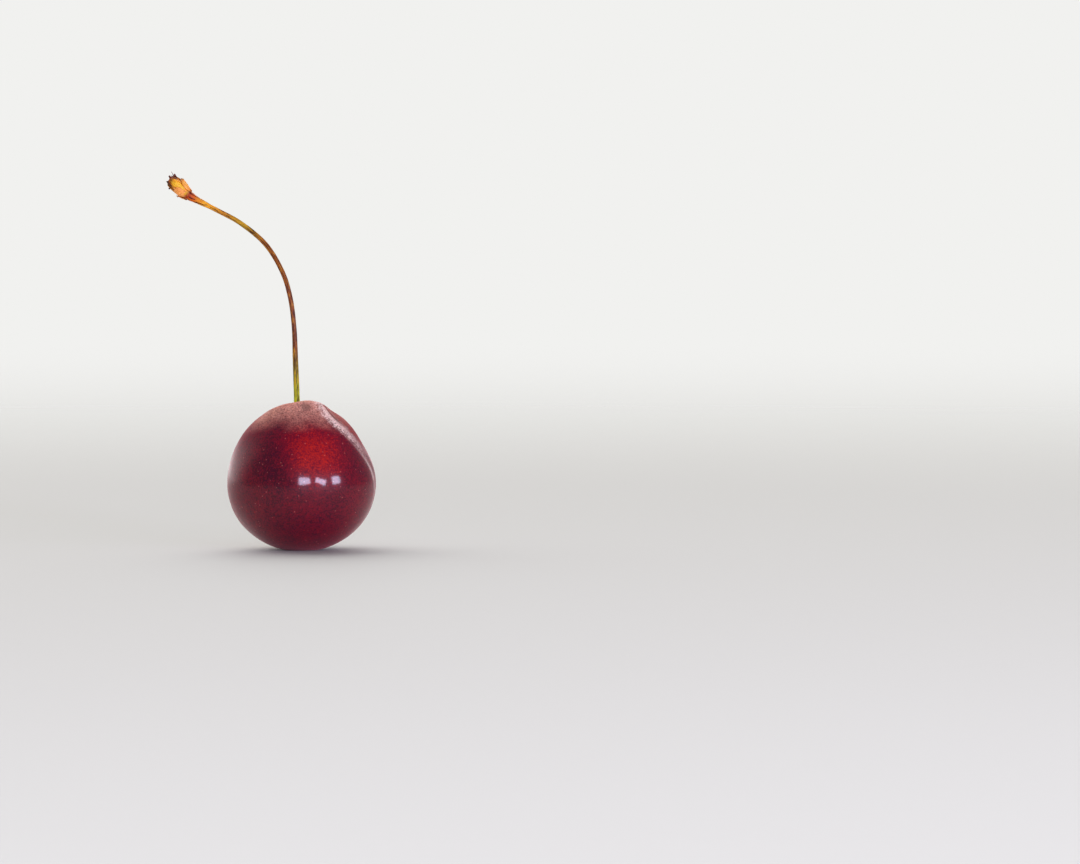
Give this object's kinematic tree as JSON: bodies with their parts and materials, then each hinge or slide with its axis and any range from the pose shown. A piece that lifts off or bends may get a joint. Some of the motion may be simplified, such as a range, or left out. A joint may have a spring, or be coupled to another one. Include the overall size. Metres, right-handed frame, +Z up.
{
  "type": "sweet cherry",
  "caption": "Round stone fruit with a smooth thin skin, a shallow suture furrow and a hollow on top, standing on a small flat spot, its long arching stalk ending in a knob of dry bud scales.",
  "frame": {"origin": "middle of the flat spot that the fruit stands on, at Z = 0", "axes": "+Z up, out of the hollow that holds the stalk; the stalk arches over towards -X; the front, with the brighter cheek, faces -Y; the suture furrow runs down between -Y and +X"},
  "size_m": [0.0353, 0.0238, 0.0632],
  "materials": {
    "skin": "thin glossy waxy fruit skin, dark red, brighter red at the front",
    "stalk": "fibrous plant stalk, olive green at the foot, brown above, golden at the knob",
    "dry_scale": "thin dry bud scale, golden with dark brown tips"
  },
  "bodies": {
    "root": {"fruit": "skin", "stem": "stalk", "bract_1": "dry_scale", "bract_2": "dry_scale", "bract_3": "dry_scale", "bract_4": "dry_scale", "bract_5": "dry_scale", "bract_6": "dry_scale"}
  },
  "joints": []
}
